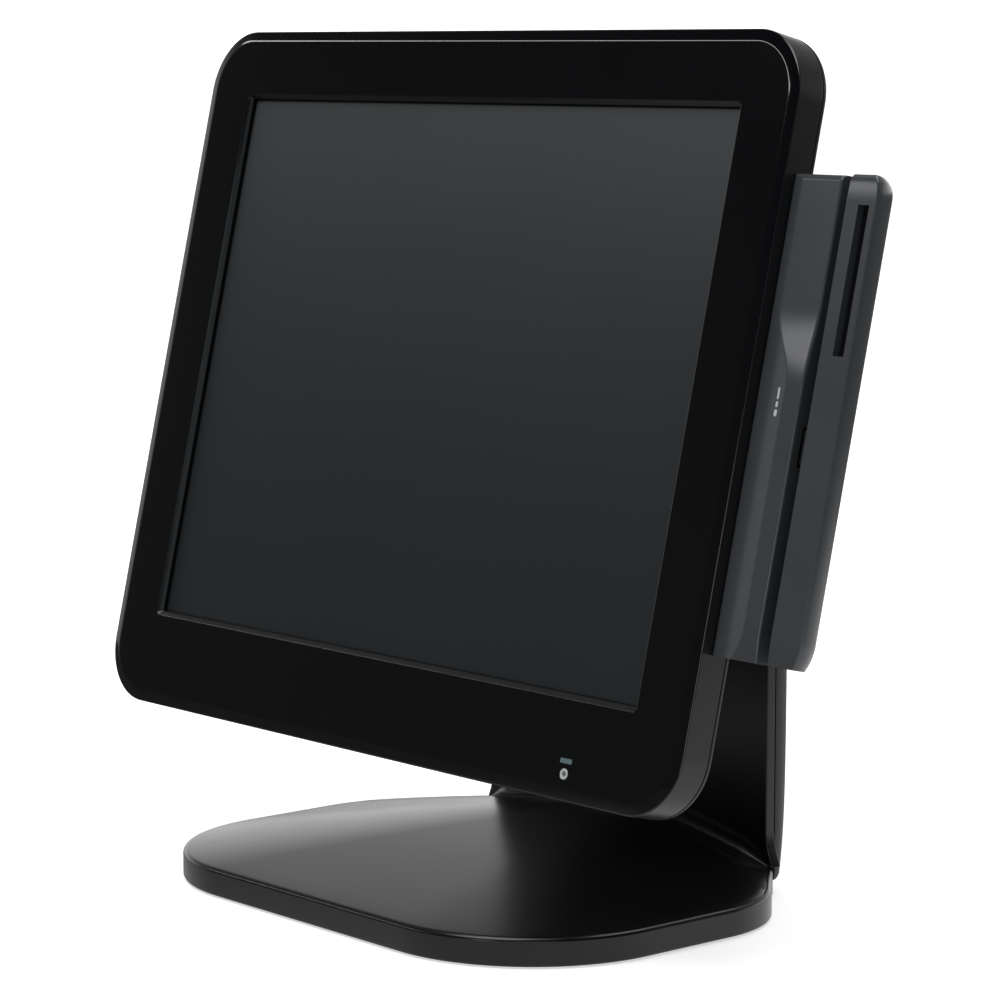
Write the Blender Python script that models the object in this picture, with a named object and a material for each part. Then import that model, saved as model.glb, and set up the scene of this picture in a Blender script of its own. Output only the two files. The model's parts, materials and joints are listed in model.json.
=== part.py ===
"""Countertop touch terminal with a side card reader, built as separate named pieces.

Metres, +Z up. The origin is on the counter, at the centre of the whole object's footprint.
X runs to the viewer's right, Y away from the viewer.

The stand's pieces are placed in the stand's frame, which shares the object's Y and Z. The head's
pieces are placed in the head's frame: x to the right, y (depth) from the bezel's front face
into the head, z up the screen, with its origin at the centre of the screen opening.
"""

import math

import bmesh
import bpy
from mathutils import Vector

GAP = 0.0003

# Head housing
HEAD_WIDTH = 0.366
HEAD_HEIGHT = 0.3002
HEAD_MID = -0.0054
HEAD_CORNER = 0.026
OPENING_WIDTH = 0.309
OPENING_HEIGHT = 0.233
OPENING_CORNER = 0.002
BEZEL_BEVEL = 0.0045
BEZEL_BACK = 0.014
PLATE_BACK = 0.0026
WALL = 0.0025
BULGE_DEPTH = 0.0604
BULGE_BOTTOM = -0.112

# Power button on the left side wall: depth and height
BUTTON_MID = (0.0079, -0.0600)

# Screen stack, by depth
GLASS_FRONT = 0.0037
GLASS_BACK = 0.0052
LCD_FRONT = 0.0055
LCD_BACK = 0.0135
CHASSIS_FRONT = 0.0150
BOARD_FRONT = 0.0240
BOARD_BACK = 0.0256

# Stand
TILT = math.radians(13.14)
SCREEN_Y = -0.0331
SCREEN_Z = 0.218
HINGE_Y = 0.0549
HINGE_Z = 0.2030
NECK_HALF = 0.0875
NECK_FRONT = 0.0779
NECK_SEAM = 0.0827
NECK_BACK = 0.0981
NECK_TOP = 0.2140
NECK_FILLET = 0.0115
BASE_FRONT = -0.0981
BASE_BACK = 0.0789
BASE_HALF = 0.1300
BASE_FRONT_CORNER = 0.0695
BASE_REAR_CORNER = 0.053
RIM_HEIGHT = 0.0120
DOME_RISE = 0.0140
DOME_POWER = 1.5
SHELL_BOTTOM = 0.0012

# Card reader
READER_REACH = 0.2293
READER_TOP = 0.0912
READER_BOTTOM = -0.0906
BODY_RIGHT = 0.2085
RAIL_LEFT = 0.2143
CHANNEL_RIGHT = 0.2131
FRONT_HIGH = 0.0028
FRONT_LOW = 0.0048
SLANT = 0.165
SLANT_START = 0.0056
CHANNEL_FLOOR = 0.0190

# The reader hangs on one side, so the stand's middle is off the footprint's middle
STAND_X = (HEAD_WIDTH / 2 - READER_REACH) / 2


def clear_scene():
    for obj in list(bpy.data.objects):
        bpy.data.objects.remove(obj, do_unlink=True)


def make_material(name, colour, roughness, metallic=0.0):
    material = bpy.data.materials.new(name)
    material.use_nodes = True
    shader = material.node_tree.nodes["Principled BSDF"]
    shader.inputs["Base Color"].default_value = (*colour, 1.0)
    shader.inputs["Roughness"].default_value = roughness
    shader.inputs["Metallic"].default_value = metallic
    material.diffuse_color = (*colour, 1.0)
    return material


def empty(name, parent=None, at=(0, 0, 0), turn_x=0.0):
    obj = bpy.data.objects.new(name, None)
    bpy.context.scene.collection.objects.link(obj)
    obj.parent = parent
    obj.location = at
    obj.rotation_euler = (turn_x, 0, 0)
    return obj


# ---- outlines ----


def arc(cx, cy, radius, start, stop, steps):
    """Points on an arc, angles in degrees."""
    return [
        (
            cx + radius * math.cos(math.radians(start + (stop - start) * i / steps)),
            cy + radius * math.sin(math.radians(start + (stop - start) * i / steps)),
        )
        for i in range(steps + 1)
    ]


def rounded_rect(half_w, half_h, radius, mid=(0, 0), steps=8):
    points = []
    corners = ((1, -1, -90), (1, 1, 0), (-1, 1, 90), (-1, -1, 180))
    for sx, sy, start in corners:
        cx = mid[0] + sx * (half_w - radius)
        cy = mid[1] + sy * (half_h - radius)
        points += arc(cx, cy, radius, start, start + 90, steps)
    return points


def circle(radius, steps, mid=(0, 0)):
    return arc(mid[0], mid[1], radius, 0, 360, steps)[:-1]


# ---- solids ----


def finish_mesh(name, bm, material, parent, at, sharp=35):
    """Turns a bmesh into an object whose faces point out, shaded smooth between sharp edges."""
    bmesh.ops.recalc_face_normals(bm, faces=bm.faces)
    mesh = bpy.data.meshes.new(name)
    bm.to_mesh(mesh)
    bm.free()
    mesh.materials.append(material)
    mesh.shade_smooth()
    mesh.set_sharp_from_angle(angle=math.radians(sharp))
    obj = bpy.data.objects.new(name, mesh)
    bpy.context.scene.collection.objects.link(obj)
    obj.parent = parent
    obj.location = at
    return obj


def loft(name, rings, material, parent, at=(0, 0, 0), closed=False, sharp=35):
    """A skin through rings of equal count, capped at both ends or joined last to first."""
    bm = bmesh.new()
    loops = [[bm.verts.new(Vector(p) - Vector(at)) for p in ring] for ring in rings]
    pairs = list(zip(loops, loops[1:]))
    if closed:
        pairs.append((loops[-1], loops[0]))
    for first, second in pairs:
        for i in range(len(first)):
            j = (i + 1) % len(first)
            bm.faces.new((first[i], first[j], second[j], second[i]))
    if not closed:
        bm.faces.new(loops[0])
        bm.faces.new(loops[-1])
    return finish_mesh(name, bm, material, parent, at, sharp)


def prism(name, outline, axis, low, high, material, parent, at=(0, 0, 0), sharp=35):
    """An outline pushed along one axis. Its two coordinates are the other axes in X, Y, Z order."""

    def lift(point, level):
        a, b = point
        return {"X": (level, a, b), "Y": (a, level, b), "Z": (a, b, level)}[axis]

    rings = [[lift(p, level) for p in outline] for level in (low, high)]
    return loft(name, rings, material, parent, at, sharp=sharp)


def box(name, low, high, material, parent, at=(0, 0, 0), bevel=0.0):
    outline = [(low[0], low[2]), (high[0], low[2]), (high[0], high[2]), (low[0], high[2])]
    obj = prism(name, outline, "Y", low[1], high[1], material, parent, at)
    if bevel:
        add_bevel(obj, bevel)
    return obj


def add_bevel(obj, width, segments=1):
    modifier = obj.modifiers.new("edge", "BEVEL")
    modifier.width = width
    modifier.segments = segments
    modifier.limit_method = "ANGLE"
    modifier.angle_limit = math.radians(40)
    return modifier


def tube(name, centre, radius, bore, low, high, material, parent, steps=40, axis="X"):
    """A round solid along an axis. centre is its two other coordinates; bore may be 0."""
    if not bore:
        return prism(name, circle(radius, steps, centre), axis, low, high, material, parent)

    def ring(r, level):
        points = circle(r, steps, centre)
        if axis == "X":
            return [(level, a, b) for a, b in points]
        if axis == "Y":
            return [(a, level, b) for a, b in points]
        return [(a, b, level) for a, b in points]

    rings = [ring(radius, low), ring(radius, high), ring(bore, high), ring(bore, low)]
    return loft(name, rings, material, parent, closed=True)


def cutter(name, solids, parent):
    """One hidden object out of several box cutters, each (low, high)."""
    bm = bmesh.new()
    for low, high in solids:
        made = bmesh.ops.create_cube(bm, size=1.0)["verts"]
        for vert in made:
            for k in range(3):
                vert.co[k] = low[k] if vert.co[k] < 0 else high[k]
    bmesh.ops.recalc_face_normals(bm, faces=bm.faces)
    mesh = bpy.data.meshes.new(name)
    bm.to_mesh(mesh)
    bm.free()
    obj = bpy.data.objects.new(name, mesh)
    bpy.context.scene.collection.objects.link(obj)
    obj.parent = parent
    hide_helper(obj)
    return obj


def hide_helper(obj):
    obj.hide_render = True
    obj.display_type = "WIRE"


def combine(target, other, operation="DIFFERENCE"):
    modifier = target.modifiers.new(other.name, "BOOLEAN")
    modifier.operation = operation
    modifier.solver = "EXACT"
    modifier.object = other
    hide_helper(other)
    return modifier


def screw(name, centre, radius, low, high, material, parent, axis="Y"):
    """A socket-head screw seen as its head: a round with a hexagonal recess at its low end."""
    recess = circle(radius * 0.5, 6, centre)
    head = tube(name, centre, radius, 0, low, high, material, parent, 20, axis)
    depth = (high - low) * 0.55
    step = 0.001 if high > low else -0.001
    socket = prism(name + "_socket", recess, axis, low - step, low + depth, material, parent)
    combine(head, socket)
    return head


# ---- stand ----


def base_outline(inset=0.0):
    """The base's plan, counterclockwise from the front: round front corners, cut rear corners."""
    half = BASE_HALF - inset
    front = BASE_FRONT + inset
    back = BASE_BACK - inset
    corner = BASE_FRONT_CORNER - inset
    rear = BASE_REAR_CORNER - inset
    rear_y = BASE_BACK - 0.062
    right = arc(half - corner, front + corner, corner, -90, 0, 14)
    right += arc(half - rear, rear_y, rear, 0, 45, 8)
    cut = right[-1]
    right.append((cut[0] - (back - 0.003 - cut[1]), back - 0.003))
    right.append((right[-1][0] - 0.0035, back))
    left = [(-x, y) for x, y in reversed(right)]
    return right + left


def dome_height(x, y):
    """Height of the base's top: a crown that falls from the neck's foot to the rim."""
    reach = 1.0
    outline = base_outline()
    for (ax, ay), (bx, by) in zip(outline, outline[1:] + outline[:1]):
        ex, ey = bx - ax, by - ay
        px, py = ax, ay - BASE_BACK
        cross = x * ey - (y - BASE_BACK) * ex
        if abs(cross) < 1e-12:
            continue
        t = (px * ey - py * ex) / cross
        u = (px * (y - BASE_BACK) - py * x) / cross
        if t > 0 and -1e-6 <= u <= 1 + 1e-6:
            reach = min(reach, 1 / t)
    return RIM_HEIGHT + DOME_RISE * (1 - reach**DOME_POWER)


def dome_ring(outline, share, height):
    """The outline shrunk towards the middle of the back edge."""
    return [(x * share, BASE_BACK + (y - BASE_BACK) * share, height) for x, y in outline]


def make_base_shell(parent, black):
    outer = base_outline()
    inner = base_outline(0.0028)
    soft = base_outline(0.0012)
    rings = [[(x, y, SHELL_BOTTOM + 0.0010) for x, y in outer]]
    rings.append([(x, y, RIM_HEIGHT - 0.0012) for x, y in outer])
    rings.append([(x, y, RIM_HEIGHT + 0.0001) for x, y in soft])
    for share in (0.93, 0.82, 0.68, 0.52, 0.36, 0.2, 0.08):
        height = RIM_HEIGHT + DOME_RISE * (1 - share**DOME_POWER)
        rings.append(dome_ring(outer, share, height))
    under = []
    for share in (0.08, 0.52, 0.93):
        height = RIM_HEIGHT - 0.0032 + (DOME_RISE - 0.001) * (1 - share**DOME_POWER)
        under.append([(x, y - 0.0028, z) for x, y, z in dome_ring(inner, share, height)])
    under.append([(x, y, RIM_HEIGHT - 0.0036) for x, y in inner])
    under.append([(x, y, SHELL_BOTTOM) for x, y in inner])
    under.append([(x, y, SHELL_BOTTOM) for x, y in base_outline(0.0010)])
    shell = loft("base_shell", [*reversed(rings), *reversed(under)], black, parent, sharp=40)
    return shell


def make_base_inside(parent, steel, iron, rubber):
    notch = cutter(
        "foot_notch",
        [((-0.0612, BASE_BACK - 0.010, 0.0), (0.0612, BASE_BACK + 0.004, 0.0067))],
        parent,
    )
    prism("bottom_plate", base_outline(0.0033), "Z", 0.0019, 0.0034, steel, parent)
    ballast = [(x * 0.78, 0.070 + (y - BASE_BACK) * 0.76) for x, y in base_outline()]
    prism("base_weight", ballast, "Z", 0.0065, 0.0110, iron, parent)
    foot = [(-0.0605, -0.010), (0.0605, -0.010), (0.0605, 0.0890), (-0.0605, 0.0890)]
    prism("neck_foot_plate", foot, "Z", 0.0038, 0.0062, steel, parent)
    for name, x, y in (
        ("foot_front_left", -0.082, -0.072),
        ("foot_front_right", 0.082, -0.072),
        ("foot_rear_left", -0.092, 0.042),
        ("foot_rear_right", 0.092, 0.042),
    ):
        pad = prism(name, circle(0.0095, 24, (x, y)), "Z", 0.0, 0.0016, rubber, parent)
        add_bevel(pad, 0.0004)
    return notch


def neck_panel_outline():
    """The front panel, x and z: it stands on the dome and flares at its lower corners."""
    flare = 0.0042
    foot_half = NECK_HALF + flare
    count = 15
    foot = []
    for i in range(count + 1):
        x = foot_half * i / count
        foot.append((x, dome_height(x, NECK_FRONT) + GAP))
    low = foot[-1][1]
    steps = 5
    side = []
    for i in range(1, steps + 1):
        t = i / steps
        side.append((NECK_HALF + flare * (1 - t) ** 2, low + 0.016 * t))
    corner = arc(NECK_HALF - 0.012, NECK_TOP - 0.012, 0.012, 0, 90, 6)
    right = [*foot, *side, *corner]
    left = [(-x, z) for x, z in reversed(right[1:])]
    return right + left


def foot_ring(x):
    """The section of the hollow fillet between the base's top and the neck's front face."""
    radius = NECK_FILLET * (1 - 0.85 * smooth_step(abs(x), NECK_HALF - 0.012, NECK_HALF + 0.004))
    steps = [radius * share for share in (0, 0.12, 0.28, 0.48, 0.72, 0.97)]
    under = [(NECK_FRONT - t, dome_height(x, NECK_FRONT - t) + GAP) for t in steps]
    over = []
    for (y, z), t in zip(under, steps):
        rise = radius - math.sqrt(radius**2 - (radius - t) ** 2)
        over.append((y, z + 0.0004 + rise))
    inside = NECK_FRONT + 0.0015
    outline = [(inside, under[0][1] + 0.0006), *under, *reversed(over), (inside, over[0][1])]
    return [(x, y, z) for y, z in outline]


def cover_depth(z):
    """The rear cover's depth behind its seam, less towards the counter."""
    fade = math.exp(-(z - 0.005) / 0.018)
    return (NECK_BACK - NECK_SEAM - GAP) * (1 - 0.42 * fade)


def cover_ring(z, inset=0.0, front=NECK_SEAM + GAP, low=0.0):
    half = NECK_HALF - inset - low
    round_x = 0.0151 - inset
    depth = cover_depth(z) - inset - low
    points = []
    steps = 8
    for i in range(steps + 1):
        angle = math.pi / 2 * i / steps
        x = half - round_x + round_x * math.cos(angle)
        points.append((x, NECK_SEAM + GAP + depth * math.sin(angle), z))
    points.insert(0, (half, front, z))
    return points + [(-x, y, z) for x, y, z in reversed(points)]


def make_neck(parent, black, dark, steel):
    panel = prism(
        "neck_front_panel", neck_panel_outline(), "Y", NECK_FRONT, NECK_SEAM, black, parent
    )
    entry_mid = (0, 0.148)
    entry = rounded_rect(0.020, 0.012, 0.008, entry_mid, 6)
    combine(panel, prism("entry_panel_hole", entry, "Y", 0.070, 0.0829, black, parent))
    add_bevel(panel, 0.0009, 2)
    places = [0, 0.020, 0.040, 0.058, NECK_HALF - 0.012, 0.079, 0.082, 0.085, NECK_HALF + 0.0006]
    sections = [foot_ring(x) for x in [-x for x in reversed(places[1:])] + places]
    combine(panel, loft("neck_foot_fillet", sections, black, parent), "UNION")
    outer = [cover_ring(0.0052, low=0.0022), cover_ring(0.0062, low=0.0006)]
    outer += [cover_ring(z) for z in (0.0080, 0.012, 0.020, 0.032, 0.050, 0.080, 0.150)]
    outer += [cover_ring(NECK_TOP - 0.004), cover_ring(NECK_TOP - 0.001, low=0.0010)]
    outer += [cover_ring(NECK_TOP, low=0.0030)]
    back = NECK_SEAM + GAP
    inner = [cover_ring(NECK_TOP - 0.0025, WALL, back - 0.001), cover_ring(0.150, WALL, back - 0.001)]
    inner += [cover_ring(z, WALL, back - 0.001) for z in (0.050, 0.020, 0.0076)]
    cover = loft("neck_rear_cover", outer, dark, parent, sharp=40)
    hollow = loft("cover_hollow", inner, dark, parent)
    combine(cover, hollow)
    frame_slot = cutter("frame_slot", [((-0.0612, 0.080, 0.003), (0.0612, 0.0894, 0.010))], parent)
    combine(cover, frame_slot)
    outlet = prism(
        "cover_outlet", rounded_rect(0.018, 0.011, 0.006, (0, 0.016)), "Y", 0.086, 0.110, dark, parent
    )
    combine(cover, outlet)
    upright = rounded_rect(0.060, 0.1017, 0.004, (0, 0.1082), 3)
    frame = prism("neck_frame", upright, "Y", 0.0831, 0.0856, steel, parent)
    entry = rounded_rect(0.0205, 0.0125, 0.0085, entry_mid, 6)
    combine(frame, prism("entry_frame_hole", entry, "Y", 0.0829, 0.0870, steel, parent))


def make_hinge_fixed(parent, steel, dark):
    plate = rounded_rect(0.047, 0.0225, 0.004, (0, 0.1895), 3)
    prism("hinge_mount_plate", plate, "Y", 0.0751, NECK_FRONT - GAP, steel, parent)
    for side, sign in (("left", -1), ("right", 1)):
        outline = arc(HINGE_Y, HINGE_Z, 0.011, 90, 270, 16)
        outline = [(0.0748, 0.211), *outline, (0.0600, 0.1895), (0.0748, 0.172)]
        low, high = sorted((sign * 0.0366, sign * 0.0396))
        ear = prism("hinge_ear_" + side, outline, "X", low, high, steel, parent)
        hole = tube("ear_hole_" + side, (HINGE_Y, HINGE_Z), 0.0042, 0, low - 0.01, high + 0.01, steel, parent)
        combine(ear, hole)
        screw("mount_screw_" + side, (sign * 0.0290, 0.176), 0.0032, 0.0730, 0.0748, dark, parent)


# ---- hinge pieces that turn with the head, in the head's frame ----


def hinge_point():
    """The hinge axis in the head's frame: depth and height."""
    dy = HINGE_Y - SCREEN_Y
    dz = HINGE_Z - SCREEN_Z
    depth = dy * math.cos(TILT) - dz * math.sin(TILT)
    height = dy * math.sin(TILT) + dz * math.cos(TILT)
    return depth, height


def make_hinge_moving(parent, steel, bright, dark):
    depth, height = hinge_point()
    tube("hinge_shaft", (depth, height), 0.0040, 0, -0.0465, 0.0465, bright, parent)
    middle = -0.007
    plate_back = BULGE_DEPTH + 0.0028
    plate = rounded_rect(0.056, 0.056, 0.006, (0, middle), 4)
    prism("vesa_plate", plate, "Y", BULGE_DEPTH + GAP, plate_back, steel, parent)
    for side, sign in (("left", -1), ("right", 1)):
        outline = arc(depth, height, 0.010, 90, -90, 16)
        root = plate_back + GAP
        outline = [(root, height + 0.024), *outline, (root, height - 0.024)]
        low, high = sorted((sign * 0.0300, sign * 0.0330))
        lug = prism("hinge_lug_" + side, outline, "X", low, high, steel, parent)
        hole = tube("lug_hole_" + side, (depth, height), 0.0042, 0, low - 0.01, high + 0.01, steel, parent)
        combine(lug, hole)
        low, high = sorted((sign * 0.0334, sign * 0.0362))
        centre = (depth, height)
        tube("friction_washer_" + side, centre, 0.0085, 0.0043, low, high, bright, parent, 32)
        low, high = sorted((sign * 0.0400, sign * 0.0445))
        nut = tube("hinge_nut_" + side, centre, 0.0075, 0, low, high, bright, parent, 6)
        bore = tube("nut_bore_" + side, centre, 0.0043, 0, low - 0.01, high + 0.01, bright, parent)
        combine(nut, bore)
        for row, z in (("upper", middle + 0.050), ("lower", middle - 0.050)):
            name = "vesa_screw_" + row + "_" + side
            head_low, head_high = plate_back + GAP + 0.0022, plate_back + GAP
            screw(name, (sign * 0.050, z), 0.0038, head_low, head_high, dark, parent)


# ---- head ----


def head_ring(inset, depth):
    half_w = HEAD_WIDTH / 2 - inset
    half_h = HEAD_HEIGHT / 2 - inset
    points = rounded_rect(half_w, half_h, HEAD_CORNER - inset, (0, HEAD_MID))
    return [(x, depth, z) for x, z in points]


def opening_ring(outset, depth):
    half_w = OPENING_WIDTH / 2 + outset
    half_h = OPENING_HEIGHT / 2 + outset
    points = rounded_rect(half_w, half_h, OPENING_CORNER + outset)
    return [(x, depth, z) for x, z in points]


def make_bezel(parent, gloss, lamp, lamp_dark):
    rings = [
        head_ring(BEZEL_BEVEL, 0.0),
        head_ring(0.0005, 0.0008),
        head_ring(0.0, 0.0013),
        head_ring(0.0, BEZEL_BACK - 0.0005),
        head_ring(0.0004, BEZEL_BACK),
        head_ring(WALL, BEZEL_BACK),
        head_ring(WALL, PLATE_BACK),
        opening_ring(0.0, PLATE_BACK),
        opening_ring(0.0, 0.0005),
        opening_ring(0.0005, 0.0),
    ]
    bezel = loft("front_bezel", rings, gloss, parent, closed=True)
    outline = rounded_rect(0.0032, 0.0067, 0.0027, BUTTON_MID, 4)
    combine(bezel, prism("button_hole", outline, "X", -0.190, -0.178, gloss, parent))
    bar = (0.1214, -0.14015)
    outline = rounded_rect(0.0036, 0.0013, 0.0007, bar, 3)
    combine(bezel, prism("bar_hole", outline, "Y", -0.001, 0.004, gloss, parent))
    outline = rounded_rect(0.0033, 0.0010, 0.0004, bar, 3)
    prism("status_lamp_bar", outline, "Y", 0.0002, 0.0020, lamp_dark, parent)
    ring = (0.1214, -0.1452)
    combine(bezel, tube("ring_hole", ring, 0.0025, 0, -0.001, 0.004, gloss, parent, 28, "Y"))
    tube("status_lamp_round", ring, 0.0022, 0.0006, 0.0, 0.0020, lamp, parent, 28, "Y")


def make_screen(parent, glass, gasket, lcd, steel):
    def framed(outset, depth):
        return opening_ring(outset, depth)

    seal = [
        framed(0.0008, 0.0029),
        framed(0.0045, 0.0029),
        framed(0.0045, 0.0034),
        framed(0.0008, 0.0034),
    ]
    loft("glass_gasket", seal, gasket, parent, closed=True)
    sheet = rounded_rect(0.1600, 0.1220, 0.002, steps=3)
    prism("touch_glass", sheet, "Y", GLASS_FRONT, GLASS_BACK, glass, parent)
    panel = box(
        "lcd_panel", (-0.163, LCD_FRONT, -0.1250), (0.163, LCD_BACK, 0.1280), lcd, parent
    )
    add_bevel(panel, 0.0008)
    tray = rounded_rect(0.1440, 0.1095, 0.018, (0, 0.004), 4)
    prism("chassis_plate", tray, "Y", CHASSIS_FRONT, CHASSIS_FRONT + 0.0012, steel, parent)


def bulge_ring(half_w, bottom, top, radius, depth):
    mid = (bottom + top) / 2
    points = rounded_rect(half_w, (top - bottom) / 2, radius, (0, mid))
    return [(x, depth, z) for x, z in points]


def bulge_side(depth):
    """How far from the middle the bulge's sloping sides are, at a depth."""
    return 0.1485 - 0.0225 * (depth - 0.019) / 0.035


def vent_cutters():
    cuts = []
    for i in range(17):
        x = (i - 8) * 0.0095
        cuts.append(((x - 0.0015, 0.024, 0.080), (x + 0.0015, 0.049, 0.135)))
    for i in range(13):
        x = (i - 6) * 0.0095
        cuts.append(((x - 0.0015, 0.0565, 0.060), (x + 0.0015, 0.066, 0.084)))
    return cuts


def make_back_cover(parent, dark):
    rings = [
        bulge_ring(0.1200, -0.1035, 0.0895, 0.020, BULGE_DEPTH),
        bulge_ring(0.1235, -0.1075, 0.0935, 0.0225, 0.0586),
        bulge_ring(0.1260, -0.1100, 0.0960, 0.024, 0.0540),
        bulge_ring(0.1485, -0.1113, 0.1188, 0.021, 0.0190),
        bulge_ring(0.1500, BULGE_BOTTOM, 0.1200, 0.022, 0.0170),
        head_ring(0.0020, 0.0167),
        head_ring(0.0007, 0.0162),
        head_ring(0.0, 0.0152),
        head_ring(0.0, BEZEL_BACK + GAP),
        bulge_ring(0.1475, -0.1088, 0.1175, 0.0195, BEZEL_BACK + GAP),
        bulge_ring(0.1460, -0.1088, 0.1163, 0.0195, 0.0190),
        bulge_ring(0.1235, -0.1075, 0.0935, 0.0215, 0.0535),
        bulge_ring(0.1200, -0.1045, 0.0905, 0.020, BULGE_DEPTH - WALL),
    ]
    cover = loft("back_cover", rings, dark, parent, sharp=40)
    combine(cover, cutter("vents", vent_cutters(), parent))
    port_window = ((-0.0170, 0.0220, -0.120), (0.1210, 0.0500, -0.100))
    drive_window = ((-0.160, 0.0300, -0.042), (-0.110, 0.0460, 0.042))
    combine(cover, cutter("side_windows", [port_window, drive_window], parent))
    grille = []
    for i in range(6):
        x = -0.093 + i * 0.0065
        grille.append(((x, 0.026, -0.120), (x + 0.0028, 0.046, -0.100)))
    combine(cover, cutter("speaker_grille", grille, parent))


# Ports from left to right: name, width, thickness, and sockets as (x, depth, half x, half depth)
PORTS = (
    ("drawer_port", 0.0140, 0.0120, ((0.0, 0.0062, 0.0049, 0.0034),)),
    (
        "usb_block",
        0.0300,
        0.0158,
        (
            (-0.0075, 0.0042, 0.0066, 0.0029),
            (0.0075, 0.0042, 0.0066, 0.0029),
            (-0.0075, 0.0116, 0.0066, 0.0029),
            (0.0075, 0.0116, 0.0066, 0.0029),
        ),
    ),
    ("network_port", 0.0160, 0.0134, ((0.0, 0.0066, 0.0059, 0.0040),)),
)
PORT_FACE = -0.1100
PORT_TOP = -0.0960
PORT_START = -0.0010
PORT_PITCH = 0.0035
SOCKET_DEPTH = 0.0085


def make_ports(parent, metal, black, board_green):
    holes = []
    front = BOARD_BACK + GAP
    x = PORT_START
    for name, width, thick, sockets in PORTS:
        low = (x, front, PORT_FACE)
        high = (x + width, front + thick, PORT_TOP)
        block = box(name, low, high, metal, parent)
        cuts = []
        for sx, depth, half_x, half_d in sockets:
            mid = x + width / 2 + sx
            cut_low = (mid - half_x, front + depth - half_d, PORT_FACE - 0.001)
            cut_high = (mid + half_x, front + depth + half_d, PORT_FACE + SOCKET_DEPTH)
            cuts.append((cut_low, cut_high))
        combine(block, cutter(name + "_sockets", cuts, parent))
        holes.append(((low[0] - GAP, front - GAP, -0.113), (high[0] + GAP, high[1] + GAP, -0.105)))
        x += width + PORT_PITCH
    video_mid = x + 0.0155
    shell = rounded_rect(0.0083, 0.0042, 0.0025, (video_mid, front + 0.0070), 4)
    video = prism("video_port", shell, "Z", PORT_FACE - 0.0012, PORT_TOP, metal, parent)
    add_bevel(video, 0.0004)
    hole_low = (video_mid - 0.0083 - GAP, front + 0.0028 - GAP, -0.113)
    holes.append((hole_low, (video_mid + 0.0083 + GAP, front + 0.0112 + GAP, -0.105)))
    inlet_mid = (-0.0090, front + 0.0060)
    tube("power_inlet", inlet_mid, 0.0052, 0.0030, PORT_FACE, PORT_TOP, black, parent, 28, "Z")
    plate = box("port_plate", (-0.0167, 0.0223, -0.1098), (0.1207, 0.0497, -0.1088), metal, parent)
    combine(plate, cutter("port_holes", holes, parent))
    inlet_hole = tube("inlet_hole", inlet_mid, 0.0055, 0, -0.113, -0.105, black, parent, 28, "Z")
    combine(plate, inlet_hole)
    board_low = (-0.0150, BOARD_FRONT, -0.1070)
    box("mainboard", board_low, (0.1180, BOARD_BACK, 0.0700), board_green, parent)


def make_inside(parent, aluminium, black):
    fins = []
    count = 10
    pitch = 0.0072
    left = 0.024
    base = BOARD_BACK + 0.0012
    top = 0.0520
    for i in range(count):
        x = left + i * pitch
        fins += [(x, base + 0.0035), (x, top), (x + 0.0020, top), (x + 0.0020, base + 0.0035)]
    outline = [(left, base), *fins, (left + (count - 1) * pitch + 0.0020, base)]
    prism("heat_sink", outline, "Z", -0.030, 0.045, aluminium, parent)
    box("speaker", (-0.0960, 0.0250, -0.1040), (-0.0520, 0.0470, -0.0780), black, parent, bevel=0.002)


def make_drive(parent, dark, steel, aluminium):
    """The storage drive on its tray, pulled out to the left by its door."""
    origin = (-0.130, 0.0395, 0.0)
    front, back = 0.0303, 0.0457
    outline = [
        (-bulge_side(front), front),
        (-bulge_side(back), back),
        (-bulge_side(back) + 0.0024, back),
        (-bulge_side(front) + 0.0024, front),
    ]
    door = prism("drive_door", outline, "Z", -0.0417, 0.0417, dark, parent, origin)
    pull = cutter("door_pull", [((-0.165, 0.0350, -0.012), (-0.1383, 0.0412, 0.012))], parent)
    combine(door, pull)
    tray_end, tray_start = -0.0270, -0.1284
    profile = [
        (0.0335, -0.0375),
        (0.0450, -0.0375),
        (0.0450, 0.0375),
        (0.0335, 0.0375),
        (0.0335, 0.0363),
        (0.0438, 0.0363),
        (0.0438, -0.0363),
        (0.0335, -0.0363),
    ]
    prism("drive_tray", profile, "X", tray_start, tray_end, steel, parent, origin)
    low, high = (-0.1280, 0.0364, -0.0350), (-0.0280, 0.0434, 0.0350)
    box("drive", low, high, aluminium, parent, origin, bevel=0.0006)


def make_power_button(parent, dark):
    origin = (-0.1830, *BUTTON_MID)
    outline = rounded_rect(0.0029, 0.0064, 0.0024, BUTTON_MID, 4)
    button = prism("power_button", outline, "X", -0.1828, -0.1785, dark, parent, origin)
    add_bevel(button, 0.0004)


# ---- card reader ----


def smooth_step(value, start, stop):
    t = min(1.0, max(0.0, (value - start) / (stop - start)))
    return t * t * (3 - 2 * t)


def body_front(z):
    """Depth of the inner block's raised face: low above, ramping up towards the viewer below."""
    level = FRONT_HIGH + (FRONT_LOW - FRONT_HIGH) * smooth_step(z, 0.010, 0.044)
    top = max(0.0, z - (READER_TOP - 0.0026))
    bottom = max(0.0, -0.0800 - z)
    rounding = 0.0026 - math.sqrt(max(0.0, 0.0026**2 - top**2))
    return level + rounding + 0.0009 * (bottom / 0.0100) ** 1.6


def body_ring(z):
    """The inner block's section: a slanted face beside the head, then the raised face."""
    left = HEAD_WIDTH / 2 + GAP
    level = body_front(z)
    ridge = left + max(0.0008, (SLANT_START - level) / SLANT)
    back = CHANNEL_FLOOR - GAP
    outline = [
        (left, back),
        (left, max(SLANT_START, level)),
        (ridge, level),
        (BODY_RIGHT - 0.0009, level),
        (BODY_RIGHT, level + 0.0009),
        (BODY_RIGHT, back),
    ]
    return [(x, d, z) for x, d in outline]


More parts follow.
